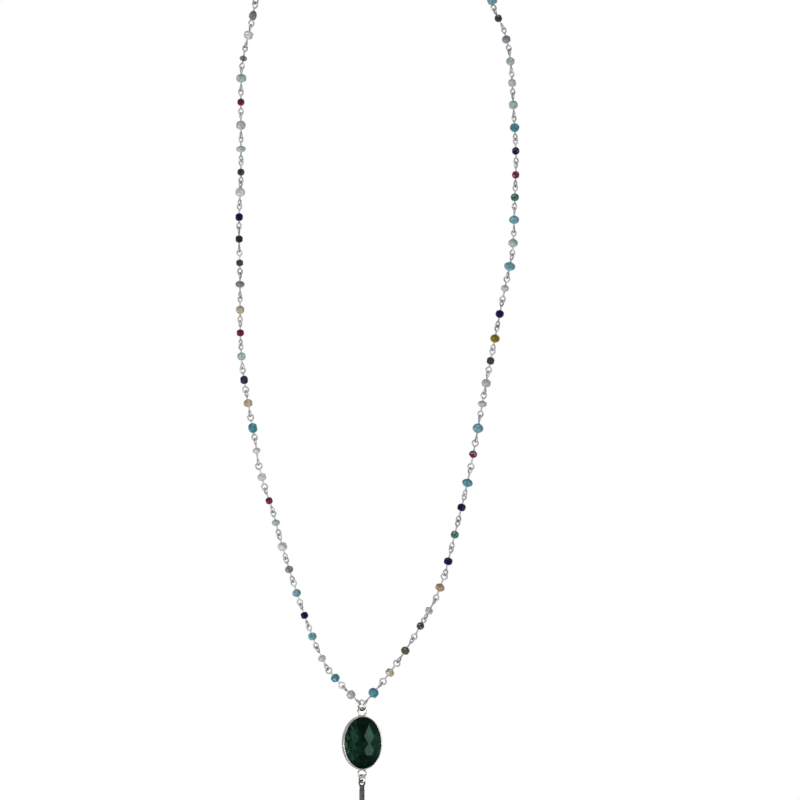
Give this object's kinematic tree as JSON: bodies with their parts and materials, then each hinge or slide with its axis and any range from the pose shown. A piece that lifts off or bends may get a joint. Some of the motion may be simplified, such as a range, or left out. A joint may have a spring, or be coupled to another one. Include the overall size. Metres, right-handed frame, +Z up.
{
  "type": "long necklace",
  "caption": "Long necklace of small stone beads on linked wire, with a faceted oval stone in a bezel and a slender metal drop hanging below it.",
  "frame": {"origin": "middle of the clasp at the nape, where the necklace hangs on a neck", "axes": "+Z up, from the pendant to the nape; +Y back, from the hanging front to the nape; +X to the right as seen from the front"},
  "size_m": [0.1023, 0.0871, 0.3847],
  "materials": {
    "bead_stone": "gloss",
    "silver": "gloss",
    "green_stone": "gloss",
    "gunmetal": "satin"
  },
  "bodies": {
    "chain": {"left_strand": "bead_stone", "right_strand": "bead_stone", "nape_strand": "bead_stone", "clasp": "silver", "top_ring": "silver"},
    "pendant": {"bezel": "silver", "stone": "green_stone"},
    "hanging_drop": {"lower_ring": "silver", "drop": "gunmetal"}
  },
  "joints": [
    {"name": "pendant_swing", "type": "hinge", "parent": "chain", "child": "pendant", "pos_m": [-0.0047, -0.082, -0.3269], "axis": [0.9703, 0.2419, 0], "range_deg": [-75, 75]},
    {"name": "drop_swing", "type": "hinge", "parent": "pendant", "child": "hanging_drop", "pos_m": [-0.0047, -0.082, -0.352], "axis": [0.9703, 0.2419, 0], "range_deg": [-60, 60]}
  ]
}
